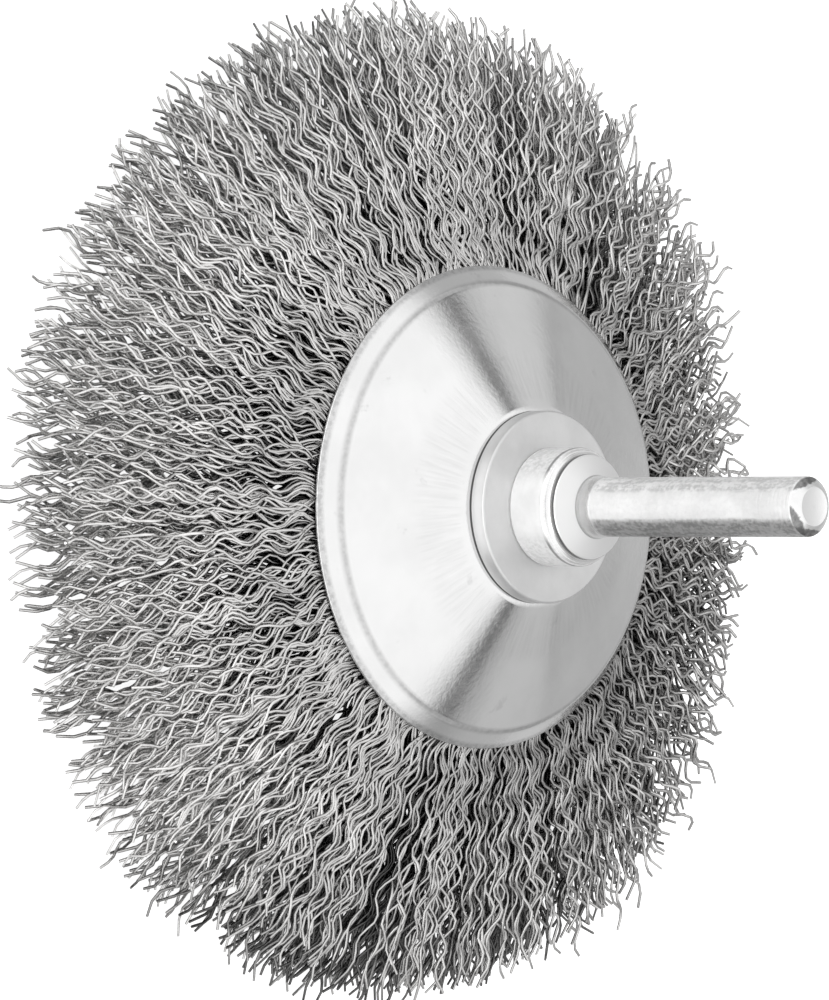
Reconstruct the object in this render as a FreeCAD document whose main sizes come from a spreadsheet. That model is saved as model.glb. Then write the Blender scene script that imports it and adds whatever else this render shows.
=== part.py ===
# A conical wire brush on a 6 mm shank, in millimetres. It stands on its wire tips, with the shank up along +Z
# and the origin on the axis, at the height of the lowest tips.
import FreeCAD
import Part
import Sketcher
import os

SIZES = [
    ("shank_radius", 3.0, "radius of the standard 6 mm shank"),
    ("shank_length", 30.0, "from the face of the step to the end of the shank"),
    ("shank_end_radius", 1.95, "flat end face inside the chamfer"),
    ("shank_chamfer_length", 0.75, "length of the end chamfer along the shank"),
    ("foot_radius", 3.2, "root of the shank on the step"),
    ("foot_length", 0.4, "length over which the root narrows to the shank"),
    ("step_radius", 5.35, "low step between shank and collar"),
    ("step_height", 0.9, "how far the step stands proud of the collar"),
    ("collar_radius", 6.05, "collar that bears on the back washer"),
    ("collar_height", 4.7, "height of the collar"),
    ("collar_chamfer", 0.3, "broken edge of the collar"),
    ("spigot_radius", 4.0, "spigot through the washer and plates"),
    ("bore_clearance", 0.1, "play of the washer and plates on the spigot"),
    ("head_radius", 6.2, "peened head on the working side"),
    ("head_height", 2.0, "height of the peened head"),
    ("head_chamfer", 0.5, "rounded-over edge of the peened head"),
    ("back_washer_radius", 9.85, "washer under the collar"),
    ("back_washer_thickness", 1.8, "thickness of the back washer"),
    ("back_washer_chamfer", 0.3, "broken edge of the back washer"),
    ("rim_height", 18.0, "rim of the cover plate above the lowest tips"),
    ("cover_radius", 24.95, "outer radius of the cover plate"),
    ("lip_width", 1.85, "turned lip of the cover plate, along the radius"),
    ("lip_angle", 43.0, "slope of the lip"),
    ("cone_angle", 22.2, "slope of the cover plate's cone"),
    ("flat_radius", 10.2, "flat middle of the cover plate"),
    ("sheet", 0.8, "thickness of the pressed plates"),
    ("cup_radius", 9.6, "outside of the inner disc's drawn cup"),
    ("disc_radius", 17.5, "outer radius of the inner disc"),
    ("ring_radius", 13.0, "middle of the retaining ring's band"),
    ("ring_width", 1.6, "width of the ring's band"),
    ("ring_height", 1.2, "height of the ring's band"),
    ("wire_layer", 1.7, "height of the wires clamped above or below the ring"),
    ("seat_gap", 0.15, "play between the wires and what clamps them"),
    ("fold_wall", 1.3, "thickness of the wires folded inside the ring"),
    ("crimp_throw", 1.05, "sideways throw of the crimp, each way"),
    ("root_gap", 0.35, "gap between neighbouring bundles at the rim"),
    ("tip_gap", 1.9, "gap between neighbouring bundles at the tips"),
    ("brush_radius", 50.0, "reach of the wire tips"),
    ("tip_height", 9.5, "highest tips above the lowest tips"),
    ("tip_taper", 0.8, "how much less the lowest tips reach"),
    ("cut_margin", 0.6, "how far the bundles' blanks run past their cut ends"),
]
BUNDLES = 36
NODES = 18
HALF_WAVES = 6

doc = FreeCAD.newDocument("wire_brush")
sheet = doc.addObject("Spreadsheet::Sheet", "Size")
for row, (alias, value, meaning) in enumerate(SIZES, start=1):
    sheet.set(f"A{row}", alias)
    sheet.set(f"B{row}", str(value))
    sheet.set(f"C{row}", meaning)
    sheet.setAlias(f"B{row}", alias)
doc.recompute()

# Heights that several pieces share, from the rim of the cover plate to the end of the shank.
CREASE = "(Size.cover_radius - Size.lip_width)"
PLATE_TOP = (
    "(Size.rim_height + Size.lip_width * tan(Size.lip_angle)"
    f" + ({CREASE} - Size.flat_radius) * tan(Size.cone_angle))"
)
WASHER_TOP = f"({PLATE_TOP} + Size.back_washer_thickness)"
COLLAR_TOP = f"({WASHER_TOP} + Size.collar_height)"
STEP_TOP = f"({COLLAR_TOP} + Size.step_height)"
SHANK_END = f"({STEP_TOP} + Size.shank_length)"
DISC_TOP = f"({PLATE_TOP} - Size.sheet)"
HEAD_TOP = f"({DISC_TOP} - Size.sheet)"
BORE = "(Size.spigot_radius + Size.bore_clearance)"


def cover_under(radius):
    """Height of the cover plate's inner face on its cone."""
    top = f"({PLATE_TOP} - ({radius} - Size.flat_radius) * tan(Size.cone_angle))"
    return f"({top} - Size.sheet / cos(Size.cone_angle))"


# The clamped stack at the retaining ring: cover plate, upper wires, ring, lower wires, inner disc.
RING_TOP = f"({cover_under('Size.ring_radius')} - Size.wire_layer - 2 * Size.seat_gap)"
RING_UNDER = f"({RING_TOP} - Size.ring_height)"
FLANGE_TOP = f"({RING_UNDER} - Size.wire_layer - 2 * Size.seat_gap)"
RING_INNER = "(Size.ring_radius - Size.ring_width / 2)"
RING_OUTER = "(Size.ring_radius + Size.ring_width / 2)"
FOLD_OUTER = f"({RING_INNER} - Size.seat_gap)"
FOLD_INNER = f"({FOLD_OUTER} - Size.fold_wall)"
BEHIND_RING = f"({RING_OUTER} + Size.seat_gap)"


def under_corner(corner, before, after):
    """The corner on the sheet's lower face: one sheet thickness square to the slopes before and after it."""
    radius, height = corner
    mean = f"(({before} + {after}) / 2)"
    half = f"(({after} - {before}) / 2)"
    return (
        f"{radius} - Size.sheet * sin({mean}) / cos({half})",
        f"{height} - Size.sheet * cos({mean}) / cos({half})",
    )


def draw(sketch, corners):
    """Draw a closed outline whose every corner is held by two dimensions bound to the sheet."""
    start = sketch.GeometryCount
    values = [[sketch.evalExpression(text) for text in corner] for corner in corners]
    points = [FreeCAD.Vector(float(x), float(y), 0) for x, y in values]
    count = len(points)
    for index in range(count):
        sketch.addGeometry(Part.LineSegment(points[index], points[(index + 1) % count]), False)
    for index in range(count):
        following = start + (index + 1) % count
        sketch.addConstraint(Sketcher.Constraint("Coincident", start + index, 2, following, 1))
    for index, point in enumerate(points):
        for kind, value, text in zip(("DistanceX", "DistanceY"), point, corners[index]):
            row = sketch.addConstraint(Sketcher.Constraint(kind, -1, 1, start + index, 1, value))
            name = f"{kind}_{start + index}"
            sketch.renameConstraint(row, name)
            sketch.setExpression(f"Constraints.{name}", text)


def turned(name, corners):
    """A body revolved about the brush's axis from its half section, given as radius and height."""
    body = doc.addObject("PartDesign::Body", name)
    sketch = body.newObject("Sketcher::SketchObject", f"{name}_section")
    plane = next(item for item in body.Origin.OriginFeatures if item.Role == "XZ_Plane")
    sketch.AttachmentSupport = [(plane, "")]
    sketch.MapMode = "FlatFace"
    draw(sketch, corners)
    doc.recompute()
    revolved = body.newObject("PartDesign::Revolution", f"{name}_turning")
    revolved.Profile = sketch
    revolved.ReferenceAxis = (sketch, ["V_Axis"])
    revolved.Angle = 360
    return body


def make_mandrel():
    """The shank, step, collar, spigot and peened head, turned in one piece."""
    return turned("mandrel", [
        ("0", SHANK_END),
        ("Size.shank_end_radius", SHANK_END),
        ("Size.shank_radius", f"{SHANK_END} - Size.shank_chamfer_length"),
        ("Size.shank_radius", f"{STEP_TOP} + Size.foot_length"),
        ("Size.foot_radius", STEP_TOP),
        ("Size.step_radius", STEP_TOP),
        ("Size.step_radius", COLLAR_TOP),
        ("Size.collar_radius - Size.collar_chamfer", COLLAR_TOP),
        ("Size.collar_radius", f"{COLLAR_TOP} - Size.collar_chamfer"),
        ("Size.collar_radius", WASHER_TOP),
        ("Size.spigot_radius", WASHER_TOP),
        ("Size.spigot_radius", HEAD_TOP),
        ("Size.head_radius", HEAD_TOP),
        ("Size.head_radius", f"{HEAD_TOP} - Size.head_height + Size.head_chamfer"),
        ("Size.head_radius - Size.head_chamfer", f"{HEAD_TOP} - Size.head_height"),
        ("0", f"{HEAD_TOP} - Size.head_height"),
    ])


def make_back_washer():
    """The plain washer between the collar and the cover plate."""
    return turned("back_washer", [
        (BORE, PLATE_TOP),
        ("Size.back_washer_radius", PLATE_TOP),
        ("Size.back_washer_radius", f"{WASHER_TOP} - Size.back_washer_chamfer"),
        ("Size.back_washer_radius - Size.back_washer_chamfer", WASHER_TOP),
        (BORE, WASHER_TOP),
    ])


RIM_CORNER = ("Size.cover_radius", "Size.rim_height")
LIP_EDGE = under_corner(RIM_CORNER, "Size.lip_angle", "Size.lip_angle")


def make_cover_plate():
    """The coned plate over the wires, pressed from sheet, with a turned lip."""
    flat_corner = ("Size.flat_radius", PLATE_TOP)
    crease_corner = (CREASE, "Size.rim_height + Size.lip_width * tan(Size.lip_angle)")
    return turned("cover_plate", [
        (BORE, PLATE_TOP),
        flat_corner,
        crease_corner,
        RIM_CORNER,
        LIP_EDGE,
        under_corner(crease_corner, "Size.cone_angle", "Size.lip_angle"),
        under_corner(flat_corner, "0 * Size.cone_angle", "Size.cone_angle"),
        (BORE, DISC_TOP),
    ])


def make_inner_disc():
    """The pressed disc under the wires: its drawn cup rises to the cover plate and its flange clamps the wires."""
    flange_under = f"({FLANGE_TOP} - Size.sheet)"
    return turned("inner_disc", [
        (BORE, DISC_TOP),
        ("Size.cup_radius", DISC_TOP),
        ("Size.cup_radius", FLANGE_TOP),
        ("Size.disc_radius", FLANGE_TOP),
        ("Size.disc_radius", flange_under),
        ("Size.cup_radius - Size.sheet", flange_under),
        ("Size.cup_radius - Size.sheet", HEAD_TOP),
        (BORE, HEAD_TOP),
    ])


def make_retaining_ring():
    """The flat ring that the wires are folded over."""
    return turned("retaining_ring", [
        (RING_INNER, RING_TOP),
        (RING_OUTER, RING_TOP),
        (RING_OUTER, RING_UNDER),
        (RING_INNER, RING_UNDER),
    ])


def extruded(name, outlines, section):
    """A prism from closed outlines: a section runs both ways along Y, a plan runs up from Z = 0."""
    sketch = doc.addObject("Sketcher::SketchObject", f"{name}_outline")
    if section:
        sketch.Placement = FreeCAD.Placement(FreeCAD.Vector(), FreeCAD.Rotation(FreeCAD.Vector(1, 0, 0), 90))
    for outline in outlines:
        draw(sketch, outline)
    prism = doc.addObject("Part::Extrusion", name)
    prism.Base = sketch
    prism.DirMode = "Custom"
    prism.Dir = FreeCAD.Vector(0, 1, 0) if section else FreeCAD.Vector(0, 0, 1)
    prism.Symmetric = section
    prism.Solid = True
    prism.setExpression("LengthFwd", "Size.brush_radius" if section else SHANK_END)
    return prism


def bundle_edge(side):
    """One edge of a bundle seen along the axis, from its fold to past its tips, as radius and offset."""
    half_pitch = f"tan(180 / {BUNDLES})"
    root = f"({FOLD_INNER} - Size.cut_margin)"
    edge = [(root, f"{side} * ({root} * {half_pitch} - Size.root_gap / 2)")]
    for index in range(HALF_WAVES + 1):
        share = index / HALF_WAVES
        swing = (-1) ** index if index > 0 else 0
        run = f"(Size.brush_radius + Size.cut_margin - ({LIP_EDGE[0]})) * {share}"
        radius = f"({LIP_EDGE[0]} + {run})"
        gap = f"(Size.root_gap + (Size.tip_gap - Size.root_gap) * {share})"
        edge.append((radius, f"{side} * ({radius} * {half_pitch} - {gap} / 2) + {swing} * Size.crimp_throw"))
    return edge


def make_bundle():
    """One crimped bundle of wires, folded round the ring: its radial section cut to its zigzag plan."""
    low_reach = "(Size.brush_radius - Size.tip_taper)"
    outline = [
        (FOLD_INNER, f"{FLANGE_TOP} + Size.seat_gap"),
        (FOLD_INNER, f"{cover_under(FOLD_INNER)} - Size.seat_gap"),
        (LIP_EDGE[0], f"{LIP_EDGE[1]} - Size.seat_gap"),
        ("Size.brush_radius", "Size.tip_height"),
        (low_reach, "0 * Size.tip_height"),
        ("Size.disc_radius", f"{FLANGE_TOP} + Size.seat_gap"),
    ]
    ring_window = [
        (FOLD_OUTER, f"{RING_UNDER} - Size.seat_gap"),
        (BEHIND_RING, f"{RING_UNDER} - Size.seat_gap"),
        (BEHIND_RING, f"{RING_TOP} + Size.seat_gap"),
        (FOLD_OUTER, f"{RING_TOP} + Size.seat_gap"),
    ]
    bundle = doc.addObject("Part::Common", "bundle")
    bundle.Base = extruded("bundle_section", [outline, ring_window], True)
    bundle.Tool = extruded("bundle_plan", [bundle_edge(1) + bundle_edge(-1)[::-1]], False)
    return bundle


def make_wires(bundle, number):
    """A sector of the trim: neighbouring copies of the bundle, turned about the axis."""
    each = BUNDLES // NODES
    copies = []
    for index in range(each):
        place = (number - 1) * each + index
        copy = doc.addObject("App::Link", f"bundle_{place + 1:02d}")
        copy.LinkedObject = bundle
        copy.LinkTransform = False
        copy.setExpression("Placement.Rotation.Angle", f"{place} * 360 / {BUNDLES}")
        copies.append(copy)
    group = doc.addObject("Part::Compound", f"wires_{number:02d}")
    group.Links = copies
    return group


nodes = [
    make_mandrel(),
    make_back_washer(),
    make_cover_plate(),
    make_retaining_ring(),
    make_inner_disc(),
]
wire_bundle = make_bundle()
nodes += [make_wires(wire_bundle, number) for number in range(1, NODES + 1)]
doc.recompute()

for item in doc.Objects:
    if "Invalid" in item.State or "Error" in item.State:
        raise RuntimeError(f"{item.Label} failed: {item.State}")
for node in nodes:
    if node.Shape.isNull() or not node.Shape.isValid():
        raise RuntimeError(f"{node.Label} has no valid shape")

os.makedirs("parts", exist_ok=True)
for node in nodes:
    node.Shape.exportStep(f"parts/{node.Label}.step")
    box = node.Shape.BoundBox
    print(node.Label, len(node.Shape.Solids), "solids", round(node.Shape.Volume, 1), "mm3",
          "z", round(box.ZMin, 3), "to", round(box.ZMax, 3), "reach", round(box.XMax, 3))
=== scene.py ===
"""A conical wire brush on a 6 mm shank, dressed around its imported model. Lengths are in metres."""

import math
import random

import bmesh
import bpy
from mathutils import Matrix, Vector


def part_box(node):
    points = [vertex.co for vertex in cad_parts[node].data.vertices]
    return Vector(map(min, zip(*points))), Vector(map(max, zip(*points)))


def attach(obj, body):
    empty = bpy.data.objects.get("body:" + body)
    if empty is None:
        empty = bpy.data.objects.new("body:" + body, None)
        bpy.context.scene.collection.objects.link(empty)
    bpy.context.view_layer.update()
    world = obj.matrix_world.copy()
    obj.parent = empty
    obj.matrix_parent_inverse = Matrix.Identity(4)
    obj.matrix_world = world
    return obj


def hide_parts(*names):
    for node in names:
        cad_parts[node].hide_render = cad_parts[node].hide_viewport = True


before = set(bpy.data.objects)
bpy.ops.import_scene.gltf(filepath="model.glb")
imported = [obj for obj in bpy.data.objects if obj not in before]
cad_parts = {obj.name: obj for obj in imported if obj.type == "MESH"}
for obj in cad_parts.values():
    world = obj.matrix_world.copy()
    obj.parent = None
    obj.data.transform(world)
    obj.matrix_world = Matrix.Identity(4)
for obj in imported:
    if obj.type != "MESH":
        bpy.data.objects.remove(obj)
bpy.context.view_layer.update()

# Mandrel: shank, foot, step, collar, spigot and peened head, turned from one steel bar and zinc
# plated. The step's face rises a little to the foot. The spigot passes through the washer and both
# plates, and its end is peened over to hold them.
MM = 0.001
shank_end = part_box("mandrel")[1].z
head_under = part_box("mandrel")[0].z
washer_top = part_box("back_washer")[1].z
plate_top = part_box("cover_plate")[1].z
disc_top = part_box("inner_disc")[1].z
sheet_thickness = plate_top - disc_top
head_top = disc_top - sheet_thickness

shank_radius = 3.0 * MM
end_radius = 1.95 * MM
end_chamfer_length = 0.75 * MM
foot_radius = 3.2 * MM
foot_height = 0.35 * MM
foot_blend = 1.1 * MM
step_radius = 5.35 * MM
step_height = 0.9 * MM
face_rise = 0.9 * MM
collar_radius = 6.05 * MM
collar_height = 4.7 * MM
spigot_radius = 4.0 * MM
head_radius = 6.2 * MM
collar_top = washer_top + collar_height
step_top = collar_top + step_height
face_top = step_top + face_rise


def turned(name, corners, steps=176):
    """A mesh spun about the shank's axis from corners given as radius, height and rounding."""
    shape = bmesh.new()
    points = [shape.verts.new((radius, 0, height)) for radius, height, rounding in corners]
    is_ring = corners[0][0] > 0
    ends = points[1:] + (points[:1] if is_ring else [])
    edges = [shape.edges.new(pair) for pair in zip(points, ends)]
    bmesh.ops.spin(shape, geom=points + edges, cent=(0, 0, 0), axis=(0, 0, 1), angle=math.tau,
                   steps=steps, use_merge=True)
    bmesh.ops.remove_doubles(shape, verts=shape.verts, dist=0.001 * MM)
    bmesh.ops.recalc_face_normals(shape, faces=shape.faces)
    near = 0.002 * MM
    for radius, height, rounding in corners:
        if rounding:
            circle = [edge for edge in shape.edges if all(
                abs(vert.co.z - height) < near and abs(vert.co.xy.length - radius) < near
                for vert in edge.verts)]
            bmesh.ops.bevel(shape, geom=circle, offset=rounding, offset_type="OFFSET", segments=4,
                            profile=0.5, affect="EDGES", material=-1)
    mesh = bpy.data.meshes.new(name)
    shape.to_mesh(mesh)
    shape.free()
    mesh.polygons.foreach_set("use_smooth", [True] * len(mesh.polygons))
    mesh.set_sharp_from_angle(angle=math.radians(40))
    piece = bpy.data.objects.new(name, mesh)
    bpy.context.collection.objects.link(piece)
    even = piece.modifiers.new("even_shading", "WEIGHTED_NORMAL")
    even.keep_sharp = True
    return piece


class Signal:
    """A number, colour or vector on its way between two nodes of a finish; numbers take sums."""

    def __init__(self, finish, socket):
        self.finish = finish
        self.socket = socket

    def maths(self, operation, first, second):
        return self.finish.node("ShaderNodeMath", {"operation": operation}, {0: first, 1: second})

    def __add__(self, other):
        return self.maths("ADD", self, other)

    def __sub__(self, other):
        return self.maths("SUBTRACT", self, other)

    def __rsub__(self, other):
        return self.maths("SUBTRACT", other, self)

    def __mul__(self, other):
        return self.maths("MULTIPLY", self, other)

    def at_most(self, other):
        return self.maths("MINIMUM", self, other)

    def at_least(self, other):
        return self.maths("MAXIMUM", self, other)

    __radd__ = __add__
    __rmul__ = __mul__


class Finish:
    """A material whose nodes are added one call at a time."""

    def __init__(self, name):
        self.material = bpy.data.materials.new(name)
        self.material.use_nodes = True
        self.tree = self.material.node_tree
        self.surface = self.tree.nodes["Principled BSDF"]
        self.place = self.node("ShaderNodeTexCoord", {}, {}, "Object")

    def node(self, kind, settings, inputs, output=0):
        """Add a node: its settings first, then the values or links of its sockets."""
        made = self.tree.nodes.new(kind)
        for name, value in settings.items():
            setattr(made, name, value)
        for name, value in inputs.items():
            self.feed(made.inputs[name], value)
        return Signal(self, made.outputs[output])

    def feed(self, socket, value):
        if isinstance(value, Signal):
            self.tree.links.new(value.socket, socket)
        else:
            socket.default_value = value

    def noise(self, size, detail=4.0, roughness=0.55, along=None):
        """Cloudy noise from 0 to 1 whose blotches are about the given size."""
        return self.node("ShaderNodeTexNoise", {}, {
            "Vector": along or self.place, "Scale": 0.5 / size,
            "Detail": detail, "Roughness": roughness})

    def stretched(self, scale):
        """Places scaled along each axis, which draws a noise out into streaks."""
        return self.node("ShaderNodeMapping", {"vector_type": "POINT"}, {
            "Vector": self.place, "Scale": scale})

    def ramp(self, value, low, high):
        """0 below low, 1 above high, smooth between."""
        return self.node("ShaderNodeMapRange", {"interpolation_type": "SMOOTHSTEP"}, {
            "Value": value, "From Min": low, "From Max": high})

    def band(self, value, low, full, fading, gone):
        """0 below low, 1 from full to fading, 0 above gone, smooth between."""
        return self.ramp(value, low, full) * (1 - self.ramp(value, fading, gone))

    def blend(self, share, first, second):
        """Mix two greys or colours by a share."""
        return self.node("ShaderNodeMix", {"data_type": "RGBA"}, {0: share, 6: first, 7: second}, 2)

    def bumps(self, height, depth):
        """A normal that stands for fine relief of the given depth."""
        return self.node("ShaderNodeBump", {}, {
            "Height": height, "Distance": depth, "Strength": 1.0})

    def set(self, **sockets):
        """Feed the shader's sockets, whose names have _ for each space."""
        for name, value in sockets.items():
            self.feed(self.surface.inputs[name.replace("_", " ")], value)

    def along(self, x, y):
        """How far a point lies from the shank's axis towards a side."""
        return self.node("ShaderNodeVectorMath", {"operation": "DOT_PRODUCT"}, {
            0: self.place, 1: Vector((x, y, 0)).normalized()}, "Value")

    def axes(self):
        """A point's x, y and height."""
        parts = self.node("ShaderNodeSeparateXYZ", {}, {"Vector": self.place}).socket.node.outputs
        return [Signal(self, parts[axis]) for axis in "XYZ"]

    def flat(self, x, y):
        """A level vector."""
        return self.node("ShaderNodeCombineXYZ", {}, {"X": x, "Y": y, "Z": 0.0})

    def radius_and_height(self):
        """Distance from the shank's axis, and height."""
        x, y, height = self.axes()
        return self.node("ShaderNodeVectorMath", {"operation": "LENGTH"}, {
            0: self.flat(x, y)}, "Value"), height


def grey(value, warmth=0.0):
    """A grey, a little warmer where asked."""
    return (value * (1 + warmth), value, value * (1 - warmth), 1.0)


def seat(piece, finish, node):
    """Give a piece its finish, and let it stand for a CAD node on the brush's one body."""
    piece.data.materials.append(finish.material)
    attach(piece, "root")
    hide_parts(node)


mandrel = turned("turned_mandrel", [
    (0, shank_end - 0.12 * MM, 0),
    (end_radius - 0.35 * MM, shank_end - 0.04 * MM, 0.3 * MM),
    (end_radius, shank_end, 0.1 * MM),
    (shank_radius, shank_end - end_chamfer_length, 0.2 * MM),
    (shank_radius, face_top + foot_blend, 0.6 * MM),
    (foot_radius, face_top + foot_height, 0.25 * MM),
    (foot_radius, face_top, 0),
    (step_radius, step_top, 0.18 * MM),
    (step_radius, collar_top, 0.4 * MM),
    (collar_radius - 0.45 * MM, collar_top, 0.12 * MM),
    (collar_radius, collar_top - 0.3 * MM, 0.3 * MM),
    (collar_radius, washer_top + 0.15 * MM, 0.1 * MM),
    (collar_radius - 0.15 * MM, washer_top, 0),
    (spigot_radius, washer_top, 0),
    (spigot_radius, head_top, 0),
    (head_radius - 0.15 * MM, head_top, 0.1 * MM),
    (head_radius, head_top - 0.35 * MM, 0.3 * MM),
    (head_radius - 0.5 * MM, head_under + 0.3 * MM, 0.5 * MM),
    (spigot_radius, head_under, 0.8 * MM),
    (1.6 * MM, head_under + 0.1 * MM, 0.4 * MM),
    (0, head_under + 0.35 * MM, 0),
])

steel = Finish("plated_bar_steel")
radius, height = steel.radius_and_height()
clouds = steel.noise(2.2 * MM, 5, 0.62)
specks = steel.noise(0.22 * MM, 3, 0.6)
streaks = steel.noise(0.35 * MM, 4, 0.6, steel.stretched((1.0, 1.0, 0.14)))
turning_marks = steel.noise(0.09 * MM, 2, 0.5, steel.stretched((0.05, 0.05, 1.0)))
on_shank = steel.ramp(height, step_top + 2.2 * MM, step_top + 3.0 * MM)
on_side = steel.ramp(radius, shank_radius - 0.15 * MM, shank_radius - 0.05 * MM) * on_shank
on_step = 1 - steel.ramp(radius, step_radius - 0.15 * MM, step_radius)
on_face = on_step * steel.band(height, step_top - 0.05 * MM, step_top - 0.01 * MM,
                               face_top, face_top + 0.3 * MM)
on_collar = 1 - steel.ramp(height, collar_top - 0.3 * MM, collar_top - 0.1 * MM)
on_chamfer = steel.ramp(height, shank_end - 0.8 * MM, shank_end - 0.7 * MM) * steel.ramp(
    radius, end_radius + 0.1 * MM, end_radius + 0.2 * MM)
on_end = steel.ramp(height, shank_end - 0.14 * MM, shank_end - 0.1 * MM) * (
    1 - steel.ramp(radius, end_radius - 0.1 * MM, end_radius))

# One side of the shank is painted darker, a painted dark reflection, and the other has a narrow
# painted dark strip; the mottle is heaviest on both.
across = steel.along(1, 0) + (clouds - 0.5) * 0.9 * MM
shank_shaded_side = steel.ramp(across, 1.0 * MM, 1.6 * MM)
shank_shaded_strip = steel.ramp(across, -1.4 * MM, -1.8 * MM)
mottle = steel.ramp(streaks * 0.5 + specks * 0.5, 0.42, 0.60) * on_side * (
    0.10 + shank_shaded_side * 0.90 + shank_shaded_strip * 0.5)
base = steel.blend(steel.ramp(clouds, 0.35, 0.7), grey(0.82), grey(0.95))
# Painted dark reflection: one side of the shank is painted darker.
base = steel.blend(shank_shaded_side * on_side * 0.6, base, grey(0.45))
base = steel.blend(on_face, base, grey(0.78))

# The collar is painted darker all round but for its side towards camera_side, a painted dark
# reflection with a mottle, and the chamfer has three painted dark reflections.
towards_bright_side = steel.along(0, -1)
collar_shade = steel.ramp(specks * 0.5 + clouds * 0.5, 0.42, 0.58) * on_collar * (
    1 - steel.ramp(towards_bright_side, 4.4 * MM, 5.7 * MM))
# Painted dark reflection: the collar is painted darker but for its bright side.
base = steel.blend(collar_shade * 0.4, base, grey(0.38))
# The shank's mottle, heaviest on its side and strip that are painted as dark reflections.
base = steel.blend(mottle * 0.75, base, grey(0.28))
# Painted dark reflections: three patches on the chamfer are painted near black.
for x, y in ((-0.95, -0.30), (0.60, -0.80), (0.96, -0.10)):
    chamfer_reflection = steel.ramp(steel.along(x, y) + specks * 0.4 * MM, 2.35 * MM, 2.55 * MM)
    base = steel.blend(on_chamfer * chamfer_reflection * (0.5 + specks * 0.6), base, grey(0.12))

# Painted shade in three places: a painted shadow on the step's side beneath its edge, a painted dark
# reflection round the collar's rim and a painted dark ring at the foot.
under_edge = steel.band(height, collar_top + 0.1 * MM, step_top - 0.15 * MM,
                        step_top - 0.13 * MM, step_top - 0.06 * MM)
# Painted shadow: the step's side beneath its edge is painted near black.
base = steel.blend(under_edge * 0.9, base, grey(0.12))
# Painted dark reflection: a line round the collar's rounded rim is painted dark, but for its bright
# side.
rim = steel.band(height, collar_top - 0.75 * MM, collar_top - 0.60 * MM,
                 collar_top - 0.42 * MM, collar_top - 0.32 * MM) * (
    1 - steel.ramp(towards_bright_side, 4.6 * MM, 5.5 * MM))
base = steel.blend(rim * 0.7, base, grey(0.15))
# Painted dark reflection: a ring at the shank's foot is painted darker.
root = steel.band(height, face_top - 0.05 * MM, face_top,
                  face_top + 0.05 * MM, face_top + 0.6 * MM) * (
    1 - steel.ramp(radius, foot_radius, foot_radius + 0.12 * MM))
base = steel.blend(root * 0.6, base, grey(0.22))
base = steel.blend(on_end, base, grey(0.93))
relief = turning_marks * (1 + on_side * 5.0) + specks * 0.2 + streaks * 0.3
steel.set(Base_Color=base,
          Metallic=1.0 - on_face * 0.5 - on_side * (1 - shank_shaded_side) * 0.7 - on_collar * 0.7,
          Roughness=clouds * 0.12 + mottle * 0.08 + on_face * 0.20 + on_side * 0.12 + 0.18,
          Normal=steel.bumps(relief, 0.011 * MM))
seat(mandrel, steel, "mandrel")

# Back washer: a plain round washer stamped from zinc plated steel, with a rolled edge from the
# press. The collar clamps it flat on the cover plate.
washer_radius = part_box("back_washer")[1].x
bore_radius = spigot_radius + 0.1 * MM
back_washer = turned("stamped_washer", [
    (bore_radius, plate_top, 0),
    (washer_radius - 0.1 * MM, plate_top, 0),
    (washer_radius, plate_top + 0.1 * MM, 0.06 * MM),
    (washer_radius, washer_top - 0.15 * MM, 0.1 * MM),
    (washer_radius - 0.15 * MM, washer_top, 0.1 * MM),
    (bore_radius, washer_top, 0),
])

satin = Finish("satin_zinc")
radius, height = satin.radius_and_height()
clouds = satin.noise(3.0 * MM, 5, 0.6)
grain = satin.noise(0.18 * MM, 3, 0.6)
# Painted shadow, with grime, in the joint where the washer meets the plate: its lowest edge is
# painted near black and not metallic.
seam = 1 - satin.ramp(height, plate_top + 0.12 * MM, plate_top + 0.22 * MM)
base = satin.blend(satin.ramp(clouds, 0.3, 0.7), grey(0.66), grey(0.74))
satin.set(Base_Color=satin.blend(seam * 0.9, base, grey(0.05)), Metallic=1.0 - seam,
          Roughness=clouds * 0.10 + seam * 0.2 + 0.38, Normal=satin.bumps(grain, 0.01 * MM))
seat(back_washer, satin, "back_washer")

# Cover plate: pressed from zinc plated sheet into a flat middle, a cone and a turned-down lip.
# It lies over the wires, and its lip presses on them where they leave. The press leaves faint
# radial marks on the cone, and the crease and the edge are darker.
flat_radius = 10.2 * MM
cone_slope = math.radians(22.2)
lip_slope = math.radians(43)
cover_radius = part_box("cover_plate")[1].x
rim_height = 18.0 * MM
lip_width = 1.85 * MM
crease_radius = cover_radius - lip_width
crease_height = rim_height + lip_width * math.tan(lip_slope)


def under_sheet(radius, height, before, after):
    """The corner on the sheet's lower face, square to the slopes on both sides of it."""
    mean, half = (before + after) / 2, (after - before) / 2
    reach = sheet_thickness / math.cos(half)
    return radius - reach * math.sin(mean), height - reach * math.cos(mean)


cover_plate = turned("pressed_cover_plate", [
    (bore_radius, plate_top, 0),
    (flat_radius, plate_top, 0.35 * MM),
    (crease_radius, crease_height, 0.3 * MM),
    (cover_radius, rim_height, 0.22 * MM),
    (*under_sheet(cover_radius, rim_height, lip_slope, lip_slope), 0.12 * MM),
    (*under_sheet(crease_radius, crease_height, cone_slope, lip_slope), 0.4 * MM),
    (*under_sheet(flat_radius, plate_top, 0, cone_slope), 0.8 * MM),
    (bore_radius, disc_top, 0),
], steps=256)

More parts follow.
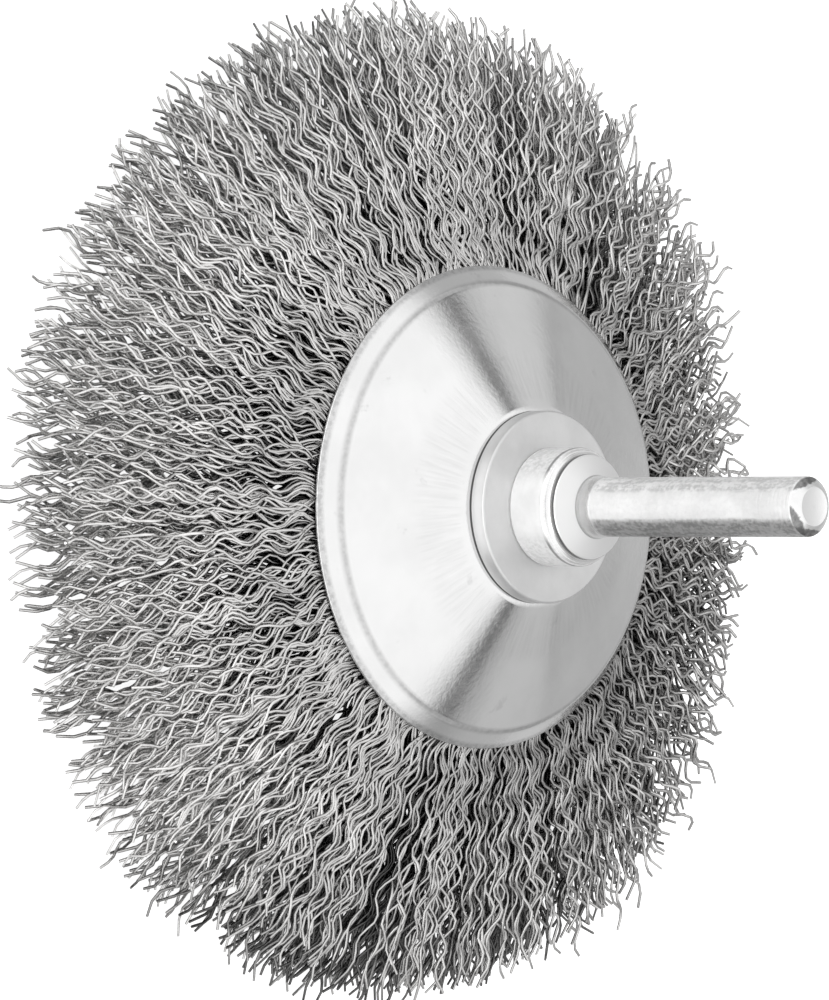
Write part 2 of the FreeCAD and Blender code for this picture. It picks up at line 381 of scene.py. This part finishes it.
zinc = Finish("bright_zinc_sheet")
radius, height = zinc.radius_and_height()
clouds = zinc.noise(4.0 * MM, 5, 0.6)
grain = zinc.noise(0.25 * MM, 4, 0.65)
base = zinc.blend(zinc.ramp(clouds, 0.3, 0.7), grey(0.78), grey(0.84))
x, y, _ = zinc.axes()
turn = x.maths("ARCTAN2", x, 0 - y)
fan = zinc.flat(turn * 20 * MM, radius * 0.10)
rays = zinc.ramp(zinc.noise(0.35 * MM, 3, 0.6, fan), 0.35, 0.75)
pressed = zinc.band(radius, 10.6 * MM, 11.6 * MM, 14.5 * MM, 16.5 * MM)
base = zinc.blend(rays * pressed * 0.16, base, grey(0.42))
smudges = zinc.ramp(zinc.noise(1.8 * MM, 5, 0.7), 0.62, 0.72)
base = zinc.blend(smudges * 0.25, base, grey(0.45))
edge = zinc.ramp(radius, cover_radius - 0.75 * MM, cover_radius - 0.35 * MM)
base = zinc.blend(edge * (zinc.ramp(grain, 0.35, 0.65) * 0.35 + 0.30), base, grey(0.34))
crease = zinc.band(radius, crease_radius - 0.55 * MM, crease_radius - 0.1 * MM,
                   crease_radius - 0.05 * MM, crease_radius + 0.45 * MM)
base = zinc.blend(crease * (zinc.ramp(grain, 0.3, 0.7) * 0.25 + 0.38), base, grey(0.36))
zinc.set(Base_Color=base, Metallic=1.0, Roughness=clouds * 0.06 + grain * 0.05 + 0.08,
         Normal=zinc.bumps(grain * 0.9 + clouds * 2.0, 0.008 * MM))
seat(cover_plate, zinc, "cover_plate")

# Inner disc: pressed from the same sheet, with a drawn cup that reaches up to the cover plate.
# Its flange clamps the folded wires from below, and the peened head holds its cup.
disc_low, disc_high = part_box("inner_disc")
disc_radius = disc_high.x
cup_radius = 9.6 * MM
flange_under = disc_low.z
flange_top = flange_under + sheet_thickness
inner_disc = turned("pressed_inner_disc", [
    (bore_radius, disc_top, 0),
    (cup_radius, disc_top, 0.9 * MM),
    (cup_radius, flange_top, 0.3 * MM),
    (disc_radius, flange_top, 0.15 * MM),
    (disc_radius, flange_under, 0.2 * MM),
    (cup_radius - sheet_thickness, flange_under, 0.9 * MM),
    (cup_radius - sheet_thickness, head_top, 0.3 * MM),
    (bore_radius, head_top, 0),
])
seat(inner_disc, zinc, "inner_disc")

# Retaining ring: a flat steel ring shut in between the plates, which the wires are folded over.
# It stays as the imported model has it, in plain dark steel.
ring_steel = Finish("dark_ring_steel")
scale_marks = ring_steel.noise(0.8 * MM, 4, 0.6)
ring_steel.set(Base_Color=ring_steel.blend(scale_marks, grey(0.30), grey(0.45)), Metallic=1.0,
               Roughness=scale_marks * 0.2 + 0.35)
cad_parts["retaining_ring"].data.materials.clear()
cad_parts["retaining_ring"].data.materials.append(ring_steel.material)

# Trim: crimped steel wires, each a hairpin folded over the retaining ring, with one leg in the
# upper layer and one in the lower. Neighbours lie in locks that share the beat of their crimp. The
# wires are painted darker where they lie deep in the trim, as painted shade.
sectors = 18
locks_per_sector = 18
wires_per_lock = 4
sector_degrees = 360 / sectors
half_bundle_degrees = sector_degrees / 4
wire_radius = 0.18 * MM
half_wave = 2.45 * MM
crimp_height = 0.66 * MM
tip_thickness = 0.85
wire_spread = 0.020
layer_spread = 0.09
face_crowding = 1.7
brush_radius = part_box("wires_01")[1].x
tip_height = 9.5 * MM
clearance = 0.35 * MM
lip_edge_radius, lip_edge_height = under_sheet(cover_radius, rim_height, lip_slope, lip_slope)
ring_low, ring_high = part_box("retaining_ring")
fold_radius = ring_high.x - 2.85 * MM
fold_top = 23.3 * MM
upper_edge = [(fold_radius, fold_top), (lip_edge_radius, lip_edge_height - clearance),
              (brush_radius, tip_height)]
lower_edge = [(fold_radius, flange_top + clearance), (disc_radius, flange_top + clearance),
              (brush_radius, clearance)]
dice = random.Random(7)


def edge_height(edge, radius):
    """Height of the trim's upper or lower face at a radius."""
    for (near, low), (far, high) in zip(edge, edge[1:]):
        if radius <= far or (far, high) == edge[-1]:
            return low + (high - low) * (radius - near) / (far - near)


def layer_height(share, radius):
    """Height between the trim's lower face at share 0 and its upper face at 1."""
    low, high = edge_height(lower_edge, radius), edge_height(upper_edge, radius)
    return low + (high - low) * share


class Lock:
    """Wires that lie side by side and share their crimp's beat, its plane and a lean."""

    def __init__(self, share):
        self.share = share
        self.beat = dice.random()
        self.plane = dice.gauss(0, 0.55)
        self.lean = dice.gauss(0, 0.04)
        self.rise = dice.gauss(0, 0.12)
        self.reach = dice.gauss(0, 0.5 * MM)


def leg_reach(angle, share_at_tip, lock):
    """The radius of a leg's tip. A few strays are longer, and some ends are cut short."""
    longest_share, overhang, raggedness = 0.55, 1.0 * MM, 0.7 * MM
    stray_chance, stray_extra = 0.04, 2.5 * MM
    short_chance, short_cut = 0.25, 5.0 * MM
    reach = brush_radius + overhang + lock.reach + dice.gauss(0, raggedness)
    reach -= abs(share_at_tip - longest_share) * 1.2 * MM
    reach += 0.8 * MM * max(-math.cos(angle), 0)
    if math.sin(angle) > 0:
        reach += 1.5 * MM * math.sin(2 * angle) ** 2
    if dice.random() < stray_chance:
        reach += stray_extra * (1 + max(math.sin(angle), 0)) * dice.random()
    elif dice.random() < short_chance:
        reach -= short_cut * dice.random()
    return reach


def leg(angle, share, lock):
    """Control points of one leg from the lip to its tip; the crimp swings from side to side."""
    beat = lock.beat + dice.gauss(0, 0.09)
    pitch = half_wave * dice.gauss(1, 0.035)
    swing = 2 * crimp_height * dice.gauss(1, 0.13)
    plane = lock.plane + dice.gauss(0, 0.25)
    common_chance, common_lean, stray_lean = 0.85, 0.06, 0.22
    spread = common_lean if dice.random() < common_chance else stray_lean
    lean = lock.lean + dice.gauss(0, spread)
    share_at_tip = min(max(share + lock.rise + dice.gauss(0, 0.10), 0.0), 1.0)
    reach = leg_reach(angle, share_at_tip, lock)
    drift = dice.gauss(0, 0.35 * MM)
    drift_up = dice.gauss(0, 0.25 * MM)
    clamped_radius, free_radius, clamped_swing = 21 * MM, 25 * MM, 0.25
    tip_swing, tip_pitch = 0.5, 0.6
    points = []
    radius = 0.5 * (ring_high.x + lip_edge_radius) + beat * pitch
    step = 0
    while radius < reach:
        at_tip = radius + pitch > reach
        out = max(radius - lip_edge_radius, 0) / (brush_radius - lip_edge_radius)
        freed = (radius - clamped_radius) / (free_radius - clamped_radius)
        side = (1 if step % 2 else -1) * swing * min(max(freed, clamped_swing), 1.0)
        if at_tip:
            side *= tip_swing
        drift += dice.gauss(0, 0.16 * MM)
        drift_up += dice.gauss(0, 0.12 * MM)
        leaning = lean * (radius - lip_edge_radius) * (out > 0)
        across = side * math.cos(plane) + drift * out * 2 + leaning
        up = side * math.sin(plane) * min(0.4 + out, 1.0) + drift_up * out * 2
        height = layer_height(share + (share_at_tip - share) * out, radius) + up
        if out == 0:
            height = max(height, edge_height(lower_edge, radius))
            height = min(height, edge_height(upper_edge, radius) - wire_radius)
        height = max(height, wire_radius)
        turn = angle + across / radius
        points.append((radius * math.cos(turn), radius * math.sin(turn), height))
        radius += pitch * (tip_pitch if at_tip else 1.0)
        step += 1
    return points


def hairpin(angle, upper_share, lower_share, upper_lock, lower_lock):
    """Control points of a whole wire, from its lower tip round the ring to its upper tip."""
    lead_radius = ring_high.x + 1.5 * MM
    round_ring = 0.8 * MM
    spread_over_ring = 2.2 * MM
    over_ring = ring_high.z + clearance + (upper_share - 0.5) * spread_over_ring
    fold = [(radius * math.cos(angle), radius * math.sin(angle), height) for radius, height in (
        (lead_radius, layer_height(lower_share * 0.5, ring_high.x)),
        (fold_radius, ring_low.z - round_ring),
        (fold_radius, ring_high.z + round_ring),
        (lead_radius, over_ring))]
    return leg(angle, lower_share, lower_lock)[::-1] + fold + leg(angle, upper_share, upper_lock)


section = bpy.data.objects.new("wire_section", bpy.data.curves.new("wire_section", "CURVE"))
outline = section.data.splines.new("POLY")
outline.points.add(3)
for corner, point in enumerate(outline.points):
    turn = math.tau * corner / 4
    point.co = (wire_radius * math.cos(turn), wire_radius * math.sin(turn), 0, 1)
outline.use_cyclic_u = True
bpy.context.collection.objects.link(section)

# A wire's depth is measured from the nearer of the trim's two faces. Deeper wires are painted
# darker, as painted shade, and the gaps near the lip are painted darkest, as a painted shadow under
# the lip.
# The wires are also painted darker on two sides of the brush, as painted shade.
wire_steel = Finish("crimped_wire_steel")
tone = wire_steel.noise(1.1 * MM, 3, 0.6)
fine = wire_steel.noise(0.15 * MM, 2, 0.5)
radius, height = wire_steel.radius_and_height()
upper_fall = (upper_edge[1][1] - tip_height) / (brush_radius - lip_edge_radius)
lower_fall = (lower_edge[1][1] - lower_edge[2][1]) / (brush_radius - disc_radius)
under_upper_face = tip_height + (brush_radius - radius) * upper_fall - height
over_lower_face = height - (brush_radius - radius) * lower_fall
buried = under_upper_face.at_most(over_lower_face)
# Painted shade: the wires on two sides of the brush are painted darker.
side_shade = wire_steel.ramp(wire_steel.along(1, 0.45), 13 * MM, 28 * MM) + wire_steel.ramp(
    wire_steel.along(-1, 0.4), 12 * MM, 34 * MM) * 0.55
# Painted shade: wires deep in the trim, and most of all near the lip, are painted nearly black.
depth_shade = wire_steel.ramp(buried, 0.2 * MM, 2.4 * MM) * (
    1 - 0.93 * wire_steel.ramp(radius, 29 * MM, 41 * MM))
depth_shade = depth_shade + (1 - wire_steel.ramp(radius, 26 * MM, 32 * MM)) * wire_steel.ramp(
    buried, 0.2 * MM, 1.0 * MM)
depth_shade = depth_shade + side_shade * wire_steel.ramp(buried, 0.2 * MM, 2.2 * MM) * 0.8
base = wire_steel.blend(wire_steel.ramp(tone, 0.3, 0.7), grey(0.64, 0.01), grey(0.92, 0.01))
# Painted shadow under the lip, with painted shade on two sides: the wires are painted darker there.
near_lip = 1 - wire_steel.ramp(radius, 28 * MM, 38 * MM)
base = wire_steel.blend(side_shade * 0.32 + near_lip * 0.32, base, grey(0.22, 0.01))
base = wire_steel.blend(depth_shade.at_most(1.0), base, grey(0.08, 0.01))
wire_steel.set(Base_Color=base, Metallic=1.0, Roughness=fine * 0.12 + 0.22)

for number in range(1, sectors + 1):
    wires = bpy.data.curves.new(f"trim_{number:02d}", "CURVE")
    wires.dimensions = "3D"
    wires.resolution_u = 3
    wires.bevel_mode = "OBJECT"
    wires.bevel_object = section
    wires.use_fill_caps = True
    start = math.radians(sector_degrees * (number - 1) - half_bundle_degrees)
    for row in range(locks_per_sector):
        middle = start + math.radians(sector_degrees) * (row + dice.random()) / locks_per_sector
        upper_lock = Lock(1 - 0.5 * dice.random() ** face_crowding)
        lower_lock = Lock(0.5 * dice.random() ** face_crowding)
        for wire in range(wires_per_lock):
            angle = middle + dice.gauss(0, wire_spread)
            upper_share = min(max(upper_lock.share + dice.gauss(0, layer_spread), 0.5), 1.0)
            lower_share = min(max(lower_lock.share + dice.gauss(0, layer_spread), 0.0), 0.5)
            places = hairpin(angle, upper_share, lower_share, upper_lock, lower_lock)
            spline = wires.splines.new("NURBS")
            spline.points.add(len(places) - 1)
            spline.points.foreach_set(
                "co", [value for place in places for value in (*place, 1.0)])
            spline.order_u = 3
            spline.use_endpoint_u = True
            spline.points[0].radius = spline.points[-1].radius = tip_thickness
    shaped = bpy.data.objects.new(f"wire_run_{number:02d}", wires)
    bpy.context.collection.objects.link(shaped)
    finished = shaped.evaluated_get(bpy.context.evaluated_depsgraph_get())
    mesh = bpy.data.meshes.new_from_object(finished)
    bpy.data.objects.remove(shaped)
    trim = bpy.data.objects.new(f"trim_{number:02d}", mesh)
    bpy.context.collection.objects.link(trim)
    mesh.materials.clear()
    seat(trim, wire_steel, f"wires_{number:02d}")
bpy.data.objects.remove(section)

# Floor and light: the brush stands on its wire tips on a plain pale floor, in soft studio light
# from a bright roof and dimmer walls. Two round dark cards stand far off, each with a faint spot
# beside it, and give the bright plate its streaks.
floor_mesh = bpy.data.meshes.new("floor")
ground = bmesh.new()
bmesh.ops.create_circle(ground, cap_ends=True, segments=64, radius=0.6)
ground.to_mesh(floor_mesh)
ground.free()
floor = bpy.data.objects.new("floor", floor_mesh)
bpy.context.collection.objects.link(floor)
pale = Finish("pale_floor")
seen = pale.node("ShaderNodeLightPath", {}, {}, "Is Camera Ray")
pale.set(Base_Color=grey(0.60), Roughness=0.9,
         Emission_Color=pale.blend(seen, grey(0.0), grey(0.9)), Emission_Strength=1.0)
pale.surface.inputs["Specular IOR Level"].default_value = 0.0
floor_mesh.materials.append(pale.material)

camera_side = Vector((0, -1, 0))
upward = Vector((0, 0, 1))
beside = camera_side.cross(upward)


class Studio(Finish):
    """The light from all round, as nodes of the world."""

    def __init__(self):
        world = bpy.data.worlds.new("studio")
        world.use_nodes = True
        bpy.context.scene.world = world
        self.tree = world.node_tree
        self.surface = self.tree.nodes["Background"]
        self.place = self.node("ShaderNodeTexCoord", {}, {}, "Generated")

    def towards(self, direction):
        """Cosine of the angle between the light's direction and the given one."""
        return self.node("ShaderNodeVectorMath", {"operation": "DOT_PRODUCT"}, {
            0: self.place, 1: direction.normalized()}, "Value")


studio = Studio()
high = studio.towards(upward)
facing = studio.towards(camera_side)
near_side = studio.towards(-beside)
roof_glow = 1.13
front_light = 1.6
far_wall = 0.50 + 0.20 * studio.ramp(high, 0.325, 0.37) * (
    1 - 0.6 * studio.ramp(near_side, 0.1, 0.4))
roof = studio.ramp(high, 0.655, 0.745).at_least(studio.ramp(facing, -0.42, -0.05))
glow = far_wall + roof * (roof_glow - far_wall)
low = 1 - studio.ramp(high, 0.15, 0.45)
glow = glow * (1 - 0.5 * low * studio.ramp(near_side, 0.45, 0.8) * studio.ramp(facing, -0.6, -0.3))
glow = glow + front_light * low * studio.ramp(facing, 0.45, 0.80)

# A card dims the light by a share, which grows from its outer to its inner angle, in degrees.
core, halo, spot = (0.88, 4.0, 1.2), (0.20, 11, 3), (0.20, 2.5, 0.7)
for card_place, spot_place in (((-0.540, 0.525, 0.658), (-0.864, 0.389, 0.321)),
                               ((-0.520, -0.526, 0.674), (-0.852, -0.400, 0.337))):
    for (inward, across, rise), (dimming, outer, inner) in (
            (card_place, core), (card_place, halo), (spot_place, spot)):
        card = studio.towards(inward * camera_side + across * beside + rise * upward)
        glow = glow * (1 - dimming * studio.ramp(card, math.cos(math.radians(outer)),
                                                 math.cos(math.radians(inner))))
seen = studio.node("ShaderNodeLightPath", {}, {}, "Is Camera Ray")
studio.set(Color=grey(1.0), Strength=glow + seen * (1.0 - glow))

# Camera: it looks down on the brush from 44 degrees above the floor and 650 mm away, turned so that
# the shank points to the right of the picture. It aims near the middle of the cover plate's rim.
off_axis = math.radians(45.61)
roll = math.radians(0.15)
distance = 0.65
back = (math.cos(off_axis) * upward + math.sin(off_axis) * camera_side).normalized()
right = math.sin(off_axis) * upward - math.cos(off_axis) * camera_side
up = back.cross(right)
right, up = (math.cos(roll) * right - math.sin(roll) * up,
             math.cos(roll) * up + math.sin(roll) * right)
aside, above = -7.187 * MM, 0.737 * MM
eye = upward * rim_height + aside * right + above * up + distance * back
lens = bpy.data.cameras.new("camera")
lens.lens = 227.3
lens.sensor_width = 36
lens.shift_x = -0.0035
lens.clip_start = 0.01
lens.clip_end = 20
camera = bpy.data.objects.new("camera", lens)
camera.matrix_world = Matrix((
    (right.x, up.x, back.x, eye.x),
    (right.y, up.y, back.y, eye.y),
    (right.z, up.z, back.z, eye.z),
    (0, 0, 0, 1)))
bpy.context.collection.objects.link(camera)
bpy.context.scene.camera = camera
bpy.context.scene.view_settings.view_transform = "Standard"
